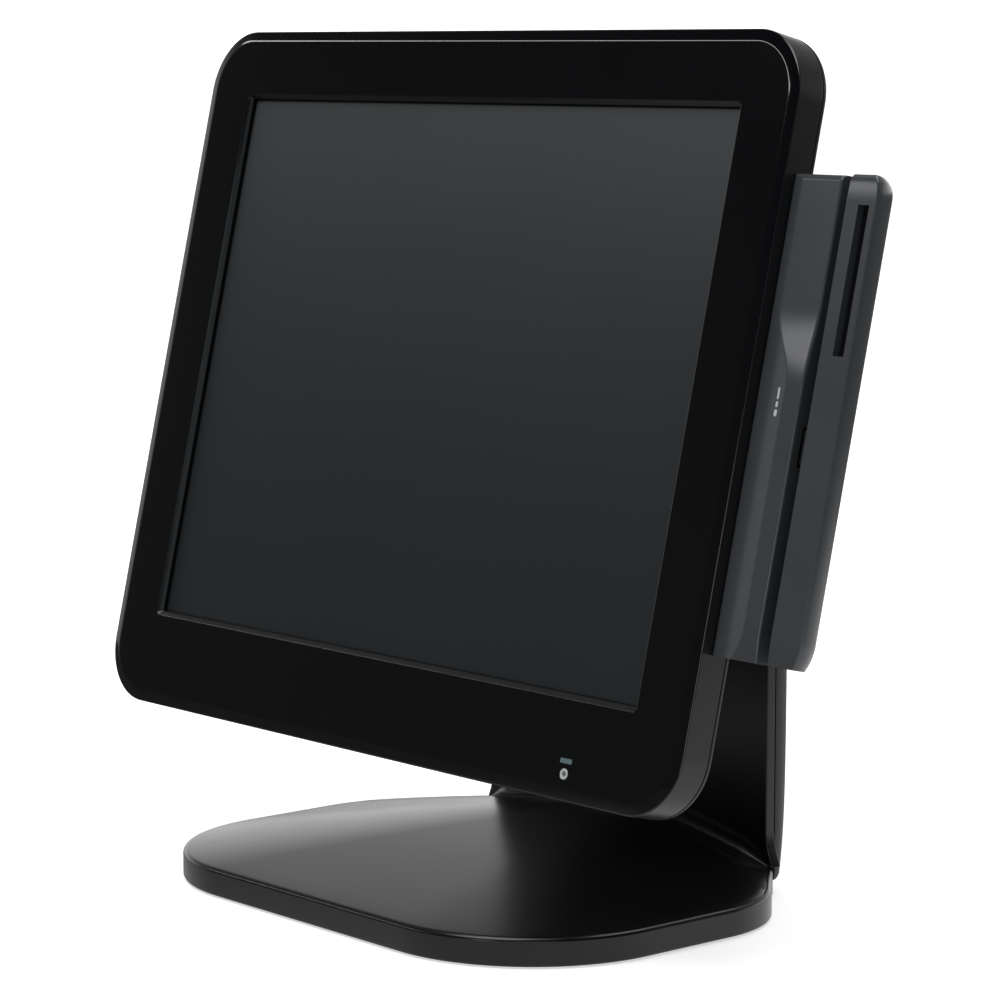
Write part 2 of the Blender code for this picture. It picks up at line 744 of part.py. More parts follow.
def rail_ring(z):
    """The outer block's section: a flat front and a quarter-round outer side."""
    top = max(0.0, z - 0.0808) / (READER_TOP - 0.0808)
    bottom = max(0.0, -0.0805 - z) / (-0.0805 - READER_BOTTOM)
    front = FRONT_HIGH + 0.0007 * (top**2 + bottom**1.6) + 0.0012 * max(0, top - 0.86) / 0.14
    pull = 0.0036 * top**4 + 0.0024 * bottom**2
    radius = 0.0180 - pull
    centre = (READER_REACH - 0.0180, 0.0040)
    corner = centre[0] + radius
    side = arc(centre[0], centre[1], radius, 0, 84, 10)
    outline = [(RAIL_LEFT, front), (corner - 0.0005, front), (corner, front + 0.0005)]
    outline += side[1:]
    outline += [(CHANNEL_RIGHT, side[-1][1]), (CHANNEL_RIGHT, 0.0058)]
    return [(x, d, z) for x, d in outline]


def make_reader(parent, satin, dark, lens, board_green, steel, bright):
    heights = [READER_TOP, READER_TOP - 0.0003, READER_TOP - 0.0009, READER_TOP - 0.0017]
    heights += [READER_TOP - 0.0026, 0.060]
    heights += [0.046 - 0.004 * i for i in range(10)]
    heights += [-0.040, -0.080, -0.084, -0.088, READER_BOTTOM]
    body = loft("reader_body", [body_ring(z) for z in heights], satin, parent, sharp=30)
    pocket = ((0.1870, 0.0100, -0.060), (0.2060, 0.0220, 0.060))
    head_window = ((0.2040, 0.0070, -0.0173), (0.2120, 0.0163, -0.0027))
    combine(body, cutter("reader_pocket", [pocket], parent))
    combine(body, cutter("head_window", [head_window], parent))
    heights = [READER_TOP, READER_TOP - 0.0008, READER_TOP - 0.002, READER_TOP - 0.004]
    heights += [READER_TOP - 0.007, 0.0808, 0.0, -0.0805, -0.0840, -0.0875, READER_BOTTOM]
    rail = loft("reader_rail", [rail_ring(z) for z in heights], satin, parent, sharp=30)
    slot = cutter("window_slot", [((0.2208, 0.001, 0.0240), (0.2262, 0.0074, 0.0797))], parent)
    combine(rail, slot)
    low, high = (0.2211, 0.0059, 0.0243), (0.2259, 0.0071, 0.0794)
    box("reader_window", low, high, lens, parent)
    floor_low = (0.1840, CHANNEL_FLOOR, -0.0890)
    floor = box("reader_back_plate", floor_low, (CHANNEL_RIGHT - GAP, 0.0216, 0.0896), dark, parent)
    add_bevel(floor, 0.0006)
    low, high = (0.1880, 0.0160, -0.0550), (0.2030, 0.0172, 0.0550)
    box("reader_board", low, high, board_green, parent)
    bracket = [
        (0.1620, 0.0172),
        (0.1827, 0.0172),
        (0.1827, 0.0219),
        (0.2060, 0.0219),
        (0.2060, 0.0235),
        (0.1811, 0.0235),
        (0.1811, 0.0188),
        (0.1620, 0.0188),
    ]
    prism("reader_bracket", bracket, "Z", -0.045, 0.045, steel, parent)
    for row, z in (("upper", 0.030), ("lower", -0.030)):
        screw("reader_screw_" + row, (0.1720, z), 0.0032, 0.0211, 0.0191, bright, parent)


def make_read_head(parent, bright):
    """The magnetic head stands in the channel and gives way to the left."""
    origin = (0.2085, 0.0117, -0.0100)
    nose = arc(0.2065, origin[1], 0.0042, -60, 60, 8)
    outline = [(0.2053, 0.0155), (0.2053, 0.0079), *nose]
    head = prism("read_head", outline, "Z", -0.0165, -0.0035, bright, parent, origin)
    add_bevel(head, 0.0004)


def build():
    clear_scene()
    gloss = make_material("gloss_black", (0.008, 0.009, 0.011), 0.12)
    black = make_material("satin_black", (0.012, 0.012, 0.013), 0.32)
    dark = make_material("moulded_black", (0.016, 0.017, 0.018), 0.45)
    satin = make_material("reader_grey", (0.045, 0.048, 0.052), 0.38)
    glass = make_material("touch_glass", (0.030, 0.034, 0.038), 0.08)
    lcd = make_material("lcd", (0.028, 0.031, 0.034), 0.35)
    gasket = make_material("foam_gasket", (0.010, 0.010, 0.010), 0.9)
    rubber = make_material("rubber", (0.020, 0.020, 0.020), 0.85)
    steel = make_material("zinc_steel", (0.50, 0.51, 0.52), 0.38, 1.0)
    bright = make_material("bright_steel", (0.62, 0.62, 0.62), 0.22, 1.0)
    blued = make_material("black_screws", (0.03, 0.03, 0.03), 0.35, 1.0)
    iron = make_material("cast_iron", (0.10, 0.10, 0.10), 0.6, 1.0)
    aluminium = make_material("aluminium", (0.60, 0.61, 0.62), 0.35, 1.0)
    board_green = make_material("circuit_board", (0.010, 0.060, 0.025), 0.45)
    lamp = make_material("lamp_white", (0.62, 0.66, 0.66), 0.3)
    lamp_dark = make_material("lamp_teal", (0.09, 0.13, 0.14), 0.3)
    lens = make_material("smoked_lens", (0.006, 0.006, 0.007), 0.15)

    stand = empty("stand_frame", at=(STAND_X, 0, 0))
    shell = make_base_shell(stand, black)
    combine(shell, make_base_inside(stand, steel, iron, rubber))
    make_neck(stand, black, dark, steel)
    make_hinge_fixed(stand, steel, blued)

    depth, height = hinge_point()
    tilt_axis = empty("tilt_axis", stand, (0, HINGE_Y, HINGE_Z), -TILT)
    head = empty("head_frame", tilt_axis, (0, -depth, -height))
    make_hinge_moving(head, steel, bright, blued)
    make_bezel(head, gloss, lamp, lamp_dark)
    make_screen(head, glass, gasket, lcd, steel)
    make_back_cover(head, dark)
    make_ports(head, steel, dark, board_green)
    make_inside(head, aluminium, dark)
    make_drive(head, dark, steel, aluminium)
    make_power_button(head, dark)
    make_reader(head, satin, dark, lens, board_green, steel, bright)
    make_read_head(head, bright)


build()
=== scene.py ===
"""Looks for the countertop touch terminal: detailed skins, materials, floor, light and camera.

Metres, in the row frame: +X right, +Y away from the viewer, +Z up. Head pieces are built in the
head's own frame (x right, y depth behind the bezel's front face, z up the screen) and then placed.
"""

import json
import math

import bmesh
import bpy
from mathutils import Matrix, Vector


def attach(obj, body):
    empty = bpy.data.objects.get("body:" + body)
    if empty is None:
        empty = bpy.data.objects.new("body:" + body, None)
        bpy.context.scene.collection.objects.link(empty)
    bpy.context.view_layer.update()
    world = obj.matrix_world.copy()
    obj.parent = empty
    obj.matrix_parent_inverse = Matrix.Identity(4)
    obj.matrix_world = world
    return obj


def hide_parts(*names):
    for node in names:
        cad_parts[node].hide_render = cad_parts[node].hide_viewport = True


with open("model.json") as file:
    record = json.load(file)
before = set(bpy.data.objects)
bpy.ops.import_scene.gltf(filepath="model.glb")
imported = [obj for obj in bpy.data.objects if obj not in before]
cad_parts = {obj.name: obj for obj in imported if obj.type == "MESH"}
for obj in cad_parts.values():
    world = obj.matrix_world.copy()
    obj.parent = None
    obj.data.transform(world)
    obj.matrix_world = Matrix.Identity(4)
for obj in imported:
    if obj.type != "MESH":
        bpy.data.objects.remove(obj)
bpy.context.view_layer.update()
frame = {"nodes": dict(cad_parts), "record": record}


JOINTS = {joint["name"]: joint for joint in frame["record"]["behaviour"]["joints"]}
HINGE = Vector(JOINTS["head_tilt"]["pos_m"])

# Head housing
TILT = math.radians(13.14)
SCREEN_TO_HINGE = (0.0880, -0.0150)
HEAD_WIDTH = 0.366
HEAD_HEIGHT = 0.3002
HEAD_MID = -0.0054
HEAD_CORNER = 0.026
OPENING_WIDTH = 0.309
OPENING_HEIGHT = 0.233
OPENING_CORNER = 0.002
OPENING_LIP = -0.0017
BEZEL_BACK = 0.014
PLATE_BACK = 0.0026
WALL = 0.0025
GAP = 0.0003
BULGE_DEPTH = 0.0604
ACTIVE_HALF = (0.15205, 0.11405)
GLASS_HALF = (0.1600, 0.1220)
GLASS_DEPTHS = (0.0037, 0.0052)

# Lamps and button: a bar as half width, half height and corner radius, the ring as two radii
LAMP_BAR = (0.0033, 0.0010, 0.0004)
LAMP_BAR_MID = (0.1214, -0.14015)
LAMP_RING = (0.0022, 0.0011)
LAMP_RING_MID = (0.1214, -0.1452)
LAMP_FRONT = 0.0002
LAMP_BACK = 0.0020
LAMP_HOLE = (-0.001, 0.004)
BUTTON = (0.0029, 0.0064, 0.0024)
BUTTON_MID = (0.0079, -0.0600)
BUTTON_REACH = (-0.1828, -0.1785)
BUTTON_HOLE = (-0.190, -0.178)

# Rear housing: each ring as half width, bottom, top, corner radius and depth
BULGE_OUTSIDE = (
    (0.1170, -0.1005, 0.0865, 0.0170, BULGE_DEPTH),
    (0.1200, -0.1035, 0.0895, 0.0200, 0.0602),
    (0.1222, -0.1058, 0.0918, 0.0215, 0.0594),
    (0.1240, -0.1080, 0.0938, 0.0228, 0.0580),
    (0.1252, -0.1092, 0.0950, 0.0235, 0.0562),
    (0.1262, -0.1099, 0.0962, 0.0240, 0.0536),
    (0.1480, -0.1113, 0.1183, 0.0212, 0.0198),
    (0.1486, -0.1114, 0.1189, 0.0213, 0.0188),
    (0.1496, -0.1117, 0.1196, 0.0217, 0.0175),
    (0.1512, -0.1128, 0.1212, 0.0225, 0.0170),
)
BULGE_INSIDE = (
    (0.1475, -0.1088, 0.1175, 0.0195, BEZEL_BACK + GAP),
    (0.1460, -0.1088, 0.1163, 0.0195, 0.0190),
    (0.1235, -0.1075, 0.0935, 0.0215, 0.0535),
    (0.1200, -0.1045, 0.0905, 0.020, BULGE_DEPTH - WALL),
)
# The rim's rolled edge, as inset and depth
RIM_EDGE = ((0.0026, 0.0167), (0.0016, 0.01664), (0.0008, 0.0163), (0.0002, 0.0157), (0.0, 0.0150))
# Rows of vents as count, low and high in depth and height
VENT_ROWS = ((17, (0.024, 0.080), (0.049, 0.135)), (13, (0.0565, 0.060), (0.066, 0.084)))
VENT_PITCH = 0.0095
VENT_HALF = 0.0015
PORT_WINDOW = ((-0.0170, 0.0220, -0.120), (0.1210, 0.0500, -0.100))
DRIVE_BAY = ((-0.160, 0.0300, -0.042), (-0.110, 0.0460, 0.042))
SPEAKER_SLOTS = 6
SPEAKER_LEFT = -0.093
SPEAKER_PITCH = 0.0065
SPEAKER_SLOT = 0.0028

# Stand
NECK_HALF = 0.0875
NECK_FRONT = 0.0779
NECK_SEAM = 0.0827
NECK_BACK = 0.0981
NECK_TOP = 0.2140
NECK_CORNER = 0.012
NECK_FLARE = 0.0042
FLARE_HEIGHT = 0.016
NECK_FILLET = 0.0085
FILLET_FADE = (NECK_HALF - 0.012, NECK_HALF + 0.004)
FILLET_LOSS = 0.85
PLATE_SLOT_HALF = 0.0612
COVER_ROUND = 0.0151
COVER_BOTTOM = 0.005
COVER_TUCK = 0.42
COVER_TUCK_REACH = 0.018
# The rear cover: heights and insets at its foot, heights above, then drops and insets at its top
COVER_FOOT = ((0.0052, 0.0022), (0.0056, 0.0012), (0.0064, 0.0005))
COVER_LOW = (0.0080, 0.010, 0.013, 0.017, 0.022, 0.028, 0.035, 0.044, 0.055)
COVER_HIGH = (0.070, 0.090, 0.120, 0.160, 0.200)
COVER_CROWN = (
    (0.0040, 0.0),
    (0.0026, 0.0003),
    (0.0014, 0.0009),
    (0.0006, 0.0017),
    (0.0001, 0.0028),
    (0.0, 0.0038),
)
BASE_FRONT = -0.0981
BASE_BACK = 0.0789
BASE_HALF = 0.1300
BASE_FRONT_CORNER = 0.0695
BASE_REAR_CORNER = 0.053
REAR_CORNER_MID = BASE_BACK - 0.062
BACK_EDGE = 0.003
RIM_HEIGHT = 0.0120
DOME_RISE = 0.0140
DOME_POWER = 1.5
SHELL_BOTTOM = 0.0004
# The rim's rolled top edge, as inset and height
RIM_ROLL = (
    (0.0, 0.0103),
    (0.00012, 0.0109),
    (0.00045, 0.0115),
    (0.0010, 0.01192),
    (0.0017, 0.01212),
    (0.0026, 0.01226),
)

# Card reader
READER_REACH = 0.2293
READER_TOP = 0.0912
READER_BOTTOM = -0.0906
BODY_RIGHT = 0.2085
RAIL_LEFT = 0.2143
CHANNEL_RIGHT = 0.2131
FRONT_HIGH = 0.0028
FRONT_LOW = 0.0052
SLANT = 0.20
SLANT_START = 0.0062
STEP_SPAN = (0.012, 0.041)
CHANNEL_FLOOR = 0.0190
BODY_ROUND = 0.0026
BODY_FALL = -0.0800
RAIL_RADIUS = 0.0180
RAIL_HIGH = 0.0808
RAIL_LOW = -0.0805
# Printed swipe cue, each bar as half width, bottom and top
MARK_X = 0.1965
MARK_BARS = ((0.0009, 0.0, 0.0026), (0.0007, 0.0034, 0.0056), (0.0006, 0.0064, 0.0108))

# Finishes
SATIN_FROM = (0.0008, 0.0013)
SATIN_SIDE = (0.0105, 0.0110, 0.0122)
SATIN_ROUGH = 0.30
SCREEN_BORDER = (0.006, 0.008, 0.010)
SCREEN_HAZE = (0.012, 0.013, 0.014)
# Painted reflection of an overhead softbox: the picture's colour grows lighter towards the top of
# the screen. Each entry gives the share of the way up and the colour.
SCREEN_PAINTED_REFLECTION = (
    (0.0, (0.0225, 0.0245, 0.0265)),
    (0.35, (0.0250, 0.0270, 0.0295)),
    (0.75, (0.0400, 0.0425, 0.0460)),
    (1.0, (0.0600, 0.0625, 0.0660)),
)

# Camera, from a perspective fit to the photograph
CAMERA_PLACE = (1.08285, -0.9481, 0.350)
CAMERA_FORWARD = (-0.7509, 0.6483, -0.1261)
CAMERA_LENS = 126.98

# Studio: where it is brightest, and each tone as value at the start, value at the stop, start, stop
BACK_WAY = (-0.60, 0.80, 0.0)
FLOOR_GLOW = 0.55
FLOOR_MID = (0.35, 0.25, 0.0)
FLOOR_NEAR = (0.85, 0.10, 0.25, 0.85)
WALL_TONES = (0.045, 1.0, 0.0, 0.75)
WALL_LIFT = (1.40, 0.30, 0.14, 0.42)


def head_matrix():
    away, up = SCREEN_TO_HINGE
    depth = away * math.cos(TILT) - up * math.sin(TILT)
    height = away * math.sin(TILT) + up * math.cos(TILT)
    turn = Matrix.Rotation(-TILT, 4, "X")
    return Matrix.Translation(HINGE) @ turn @ Matrix.Translation((0, -depth, -height))


HEAD = head_matrix()
STAND = Matrix.Translation((HINGE.x, 0, 0))


# ---- outlines ----


def arc(cx, cy, radius, start, stop, steps):
    """Points on an arc, angles in degrees."""
    points = []
    for i in range(steps + 1):
        angle = math.radians(start + (stop - start) * i / steps)
        points.append((cx + radius * math.cos(angle), cy + radius * math.sin(angle)))
    return points


def rounded_rect(half_w, half_h, radius, mid=(0, 0), steps=24):
    points = []
    for sx, sy, start in ((1, -1, -90), (1, 1, 0), (-1, 1, 90), (-1, -1, 180)):
        cx = mid[0] + sx * (half_w - radius)
        cy = mid[1] + sy * (half_h - radius)
        points += arc(cx, cy, radius, start, start + 90, steps)
    return points


def circle(radius, steps, mid=(0, 0)):
    return arc(mid[0], mid[1], radius, 0, 360, steps)[:-1]


def widened(shape):
    """The hole that takes this shape with a gap all round it."""
    return [size + GAP for size in shape]


def between(first, second, share):
    return tuple(a + (b - a) * share for a, b in zip(first, second))


def spaced(start, stop, count):
    return [start + (stop - start) * i / count for i in range(count + 1)]


def smooth_step(value, start, stop):
    """0 before start, 1 after stop, with a soft rise in between."""
    t = min(1.0, max(0.0, (value - start) / (stop - start)))
    return t * t * (3 - 2 * t)


# ---- solids ----


def skin(rings, closed=False):
    """A skin through rings of equal count, capped at both ends or joined last to first."""
    bm = bmesh.new()
    loops = [[bm.verts.new(point) for point in ring] for ring in rings]
    pairs = list(zip(loops, loops[1:]))
    if closed:
        pairs.append((loops[-1], loops[0]))
    for first, second in pairs:
        for i in range(len(first)):
            j = (i + 1) % len(first)
            bm.faces.new((first[i], first[j], second[j], second[i]))
    if not closed:
        bm.faces.new(loops[0])
        bm.faces.new(loops[-1])
    bmesh.ops.recalc_face_normals(bm, faces=bm.faces)
    return bm


def lifted(outline, axis, level):
    """A flat outline as 3-D points; its two coordinates are the other axes in X, Y, Z order."""
    if axis == "X":
        return [(level, a, b) for a, b in outline]
    if axis == "Y":
        return [(a, level, b) for a, b in outline]
    return [(a, b, level) for a, b in outline]


def prism(outline, axis, low, high):
    return skin([lifted(outline, axis, low), lifted(outline, axis, high)])


def boxes(corners):
    """Several boxes in one mesh, each (low, high)."""
    bm = bmesh.new()
    for low, high in corners:
        for vert in bmesh.ops.create_cube(bm, size=1.0)["verts"]:
            for k in range(3):
                vert.co[k] = low[k] if vert.co[k] < 0 else high[k]
    bmesh.ops.recalc_face_normals(bm, faces=bm.faces)
    return bm


def to_object(name, bm):
    mesh = bpy.data.meshes.new(name)
    bm.to_mesh(mesh)
    bm.free()
    obj = bpy.data.objects.new(name, mesh)
    bpy.context.scene.collection.objects.link(obj)
    return obj


def apply_modifiers(obj):
    graph = bpy.context.evaluated_depsgraph_get()
    mesh = bpy.data.meshes.new_from_object(obj.evaluated_get(graph))
    obj.modifiers.clear()
    obj.data = mesh


def cut(obj, *cutters, operation="DIFFERENCE"):
    """Takes the cutters' shapes out of obj, or adds them to it, and removes the cutters."""
    for bm in cutters:
        tool = to_object("cutter", bm)
        modifier = obj.modifiers.new("cut", "BOOLEAN")
        modifier.operation = operation
        modifier.solver = "EXACT"
        modifier.object = tool
        apply_modifiers(obj)
        bpy.data.objects.remove(tool, do_unlink=True)


def round_edges(obj, width, segments=3):
    modifier = obj.modifiers.new("edge", "BEVEL")
    modifier.width = width
    modifier.segments = segments
    modifier.limit_method = "ANGLE"
    modifier.angle_limit = math.radians(40)
    apply_modifiers(obj)


def shade(obj, sharp=35):
    """Smooth shading that keeps flats flat."""
    obj.data.shade_smooth()
    obj.data.set_sharp_from_angle(angle=math.radians(sharp))
    modifier = obj.modifiers.new("normals", "WEIGHTED_NORMAL")
    modifier.keep_sharp = True
    apply_modifiers(obj)


def place(obj, slot_name, body, matrix, nodes=(), sharp=35):
    """Gives obj its look, its place, its body and the CAD nodes that it stands for."""
    obj.data.materials.clear()
    obj.data.materials.append(LOOKS[slot_name])
    shade(obj, sharp)
    obj.matrix_world = matrix
    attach(obj, body)
    if nodes:
        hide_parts(*nodes)


# ---- materials ----


class Nodes:
    """A material's node tree, with short ways to add and join nodes."""

    def __init__(self, name):
        self.material = bpy.data.materials.new(name)
        self.material.use_nodes = True
        self.tree = self.material.node_tree
        self.shader = self.tree.nodes["Principled BSDF"]
        self.place = self.add("ShaderNodeTexCoord").outputs["Object"]

    def add(self, kind, **settings):
        node = self.tree.nodes.new(kind)
        for key, value in settings.items():
            setattr(node, key, value)
        return node

    def join(self, source, target):
        self.tree.links.new(source, target)

    def noise(self, scale, detail=3.0, rough=0.5, stretch=(1, 1, 1)):
        node = self.add("ShaderNodeTexNoise")
        node.inputs["Scale"].default_value = scale
        node.inputs["Detail"].default_value = detail
        node.inputs["Roughness"].default_value = rough
        if stretch != (1, 1, 1):
            mapping = self.add("ShaderNodeMapping")
            mapping.inputs["Scale"].default_value = stretch
            self.join(self.place, mapping.inputs["Vector"])
            self.join(mapping.outputs["Vector"], node.inputs["Vector"])
        else:
            self.join(self.place, node.inputs["Vector"])
        return node.outputs["Fac"]

    def spread(self, source, low, high, start=0.3, stop=0.7):
        node = self.add("ShaderNodeMapRange")
        node.inputs["From Min"].default_value = start
        node.inputs["From Max"].default_value = stop
        node.inputs["To Min"].default_value = low
        node.inputs["To Max"].default_value = high
        self.join(source, node.inputs["Value"])
        return node.outputs["Result"]

    def blend(self, factor, first, second):
        """A mix of two colours by a factor's socket; each colour may be a socket or a tuple."""
        node = self.add("ShaderNodeMix", data_type="RGBA")
        self.join(factor, node.inputs["Factor"])
        for index, value in ((6, first), (7, second)):
            if isinstance(value, tuple):
                node.inputs[index].default_value = (*value, 1.0)
            else:
                self.join(value, node.inputs[index])
        return node.outputs[2]

    def bump(self, height, strength, distance):
        node = self.add("ShaderNodeBump")
        node.inputs["Strength"].default_value = strength
        node.inputs["Distance"].default_value = distance
        self.join(height, node.inputs["Height"])
        self.join(node.outputs["Normal"], self.shader.inputs["Normal"])

    def set(self, **values):
        for key, value in values.items():
            self.shader.inputs[key.replace("_", " ")].default_value = value


def scaled(colour, factor):
    return tuple(c * factor for c in colour)


def plastic(name, colour, rough, grain=1600, relief=0.15, depth=0.00005, vary=0.12):
    return plastic_nodes(name, colour, rough, grain, relief, depth, vary).material


def plastic_nodes(name, colour, rough, grain, relief, depth, vary):
    """Moulded plastic: fine grain, slightly uneven sheen and tone."""
    n = Nodes(name)
    cloud = n.noise(22, 4)
    fleck = n.noise(grain * 0.6, 2)
    low, high = scaled(colour, 1 - vary), scaled(colour, 1 + vary)
    n.join(n.blend(n.spread(cloud, 0, 1), low, high), n.shader.inputs["Base Color"])
    sheen = n.add("ShaderNodeMath", operation="MULTIPLY_ADD")
    n.join(n.spread(fleck, -0.5, 0.5), sheen.inputs[0])
    sheen.inputs[1].default_value = rough * 0.12
    n.join(n.spread(cloud, rough * 0.93, rough * 1.07), sheen.inputs[2])
    n.join(sheen.outputs[0], n.shader.inputs["Roughness"])
    n.bump(n.noise(grain, 2, 0.6), relief, depth)
    return n


def bezel_material(name):
    """Gloss black on the front, going over to satin on the sides, behind the edge."""
    n = plastic_nodes(name, (0.0040, 0.0044, 0.0052), 0.07, 700, 0.03, 0.00003, 0.06)
    split = n.add("ShaderNodeSeparateXYZ")
    n.join(n.place, split.inputs[0])
    behind = n.spread(split.outputs["Y"], 0, 1, *SATIN_FROM)
    colour = n.shader.inputs["Base Color"]
    n.join(n.blend(behind, colour.links[0].from_socket, SATIN_SIDE), colour)
    rough = n.shader.inputs["Roughness"]
    mix = n.add("ShaderNodeMix", data_type="FLOAT")
    n.join(behind, mix.inputs["Factor"])
    n.join(rough.links[0].from_socket, mix.inputs[2])
    mix.inputs[3].default_value = SATIN_ROUGH
    n.join(mix.outputs[0], rough)
    return n.material


def metal(name, colour, rough, stretch=(1, 1, 30)):
    """Bare metal with a grain that is finest along the axis with the largest stretch."""
    n = Nodes(name)
    streak = n.noise(60, 2, 0.5, stretch)
    cloud = n.noise(30, 3)
    low, high = scaled(colour, 0.92), scaled(colour, 1.08)
    n.join(n.blend(n.spread(cloud, 0, 1), low, high), n.shader.inputs["Base Color"])
    n.join(n.spread(streak, rough * 0.75, rough * 1.3), n.shader.inputs["Roughness"])
    n.bump(streak, 0.06, 0.00001)
    n.set(Metallic=1.0)
    return n.material


def cast_metal(name, colour, rough):
    """Rough dark casting."""
    n = Nodes(name)
    lumps = n.noise(260, 6, 0.7)
    low, high = scaled(colour, 0.75), scaled(colour, 1.2)
    n.join(n.blend(n.spread(lumps, 0, 1), low, high), n.shader.inputs["Base Color"])
    n.join(n.spread(lumps, rough * 0.85, rough * 1.15), n.shader.inputs["Roughness"])
    n.bump(lumps, 0.6, 0.0004)
    n.set(Metallic=0.8)
    return n.material


def rubber_material(name, colour):
    """Matte rubber or foam with a little dust."""
    n = Nodes(name)
    dust = n.noise(500, 5, 0.7)
    tones = n.blend(n.spread(dust, 0, 1), colour, scaled(colour, 1.8))
    n.join(tones, n.shader.inputs["Base Color"])
    n.join(n.spread(dust, 0.75, 0.92), n.shader.inputs["Roughness"])
    n.bump(dust, 0.3, 0.0001)
    return n.material


def board_material(name):
    """Solder mask with traces and pale pads."""
    n = Nodes(name)
    bricks = n.add("ShaderNodeTexBrick")
    bricks.inputs["Scale"].default_value = 60
    bricks.inputs["Mortar Size"].default_value = 0.03
    bricks.inputs["Color1"].default_value = (0.010, 0.060, 0.025, 1)
    bricks.inputs["Color2"].default_value = (0.008, 0.050, 0.022, 1)
    bricks.inputs["Mortar"].default_value = (0.020, 0.105, 0.045, 1)
    turn = n.add("ShaderNodeMapping")
    turn.inputs["Rotation"].default_value = (math.pi / 2, 0, 0)
    n.join(n.place, turn.inputs["Vector"])
    n.join(turn.outputs["Vector"], bricks.inputs["Vector"])
    cells = n.add("ShaderNodeTexVoronoi", feature="F1")
    cells.inputs["Scale"].default_value = 240
    n.join(n.place, cells.inputs["Vector"])
    pads = n.spread(cells.outputs["Distance"], 1, 0, 0.10, 0.13)
    copper = n.blend(pads, bricks.outputs["Color"], (0.45, 0.42, 0.30))
    n.join(copper, n.shader.inputs["Base Color"])
    n.join(n.spread(n.noise(90), 0.35, 0.5), n.shader.inputs["Roughness"])
    n.bump(bricks.outputs["Fac"], 0.3, 0.0001)
    return n.material


def screen_material(name):
    """A matte touch film over a dark display, with a black printed border round the picture. A
    painted reflection makes the picture lighter towards its top.
    """
    n = Nodes(name)
    split = n.add("ShaderNodeSeparateXYZ")
    n.join(n.place, split.inputs[0])
    inside = []
    for axis, half in (("X", ACTIVE_HALF[0]), ("Z", ACTIVE_HALF[1])):
        size = n.add("ShaderNodeMath", operation="ABSOLUTE")
        n.join(split.outputs[axis], size.inputs[0])
        edge = n.add("ShaderNodeMath", operation="LESS_THAN")
        edge.inputs[1].default_value = half
        n.join(size.outputs[0], edge.inputs[0])
        inside.append(edge.outputs[0])
    both = n.add("ShaderNodeMath", operation="MULTIPLY")
    n.join(inside[0], both.inputs[0])
    n.join(inside[1], both.inputs[1])
    # Painted reflection: the picture's colour runs from dark at the bottom to lighter at the top of
    # the screen
    rise = n.spread(split.outputs["Z"], 0, 1, -ACTIVE_HALF[1], ACTIVE_HALF[1])
    ramp = n.add("ShaderNodeValToRGB")
    ramp.color_ramp.interpolation = "B_SPLINE"
    while len(ramp.color_ramp.elements) < len(SCREEN_PAINTED_REFLECTION):
        ramp.color_ramp.elements.new(0.5)
    for element, (where, tone) in zip(ramp.color_ramp.elements, SCREEN_PAINTED_REFLECTION):
        element.position = where
        element.color = (*tone, 1)
    n.join(rise, ramp.inputs["Fac"])
    mottle = n.noise(9, 3)
    picture = n.blend(n.spread(mottle, 0, 0.12), ramp.outputs["Color"], SCREEN_HAZE)
    n.join(n.blend(both.outputs[0], SCREEN_BORDER, picture), n.shader.inputs["Base Color"])
    n.join(n.spread(n.noise(1800, 2), 0.30, 0.36), n.shader.inputs["Roughness"])
    n.bump(n.noise(2600, 2, 0.6), 0.06, 0.00003)
    n.set(Specular_IOR_Level=0.30)
    return n.material


def make_materials():
    """One finished material for each slot of the record, by slot name."""
    gloss = bezel_material("gloss_black")
    satin = plastic("satin_black", (0.0040, 0.0040, 0.0043), 0.24, 2200, 0.04, 0.00002)
    moulded = plastic("moulded_black", (0.0110, 0.0115, 0.0125), 0.46, 1500, 0.30, 0.00006)
    grey = plastic("reader_grey", (0.0640, 0.0680, 0.0740), 0.22, 2000, 0.10, 0.00002, 0.05)
    return {
        "gloss_black": gloss,
        "satin_black": satin,
        "moulded_black": moulded,
        "reader_grey": grey,
        "touch_glass": screen_material("touch_glass"),
        "lcd": plastic("lcd", (0.028, 0.031, 0.034), 0.30),
        "foam_gasket": rubber_material("foam_gasket", (0.010, 0.010, 0.010)),
        "rubber": rubber_material("rubber", (0.016, 0.016, 0.016)),
        "zinc_steel": metal("zinc_steel", (0.50, 0.51, 0.52), 0.36),
        "bright_steel": metal("bright_steel", (0.62, 0.62, 0.61), 0.20, (30, 1, 1)),
        "black_screws": metal("black_screws", (0.035, 0.035, 0.037), 0.34, (1, 1, 1)),
        "cast_iron": cast_metal("cast_iron", (0.10, 0.10, 0.10), 0.6),
        "aluminium": metal("aluminium", (0.60, 0.61, 0.62), 0.32, (1, 1, 40)),
        "circuit_board": board_material("circuit_board"),
        "lamp_white": plastic("lamp_white", (0.66, 0.70, 0.70), 0.30, 900, 0.05),
        "lamp_teal": plastic("lamp_teal", (0.16, 0.24, 0.26), 0.22, 900, 0.05),
        "smoked_lens": plastic("smoked_lens", (0.0035, 0.0035, 0.0045), 0.16, 900, 0.03),
    }


LOOKS = make_materials()


def dress_nodes():
    """Every CAD node takes its slot's finished material; the read head a darker one."""
    for part in frame["record"]["subparts"]:
        node = frame["nodes"][part["node"]]
        node.data.materials.clear()
        node.data.materials.append(LOOKS[part["material_slot"]])
    frame["nodes"]["read_head"].data.materials[0] = LOOKS["black_screws"]


# ---- head ----


def head_ring(inset, depth):
    outline = rounded_rect(
        HEAD_WIDTH / 2 - inset, HEAD_HEIGHT / 2 - inset, HEAD_CORNER - inset, (0, HEAD_MID)
    )
    return lifted(outline, "Y", depth)


def opening_ring(outset, depth):
    outline = rounded_rect(
        OPENING_WIDTH / 2 + outset, OPENING_HEIGHT / 2 + outset, OPENING_CORNER + outset
    )
    return lifted(outline, "Y", depth)


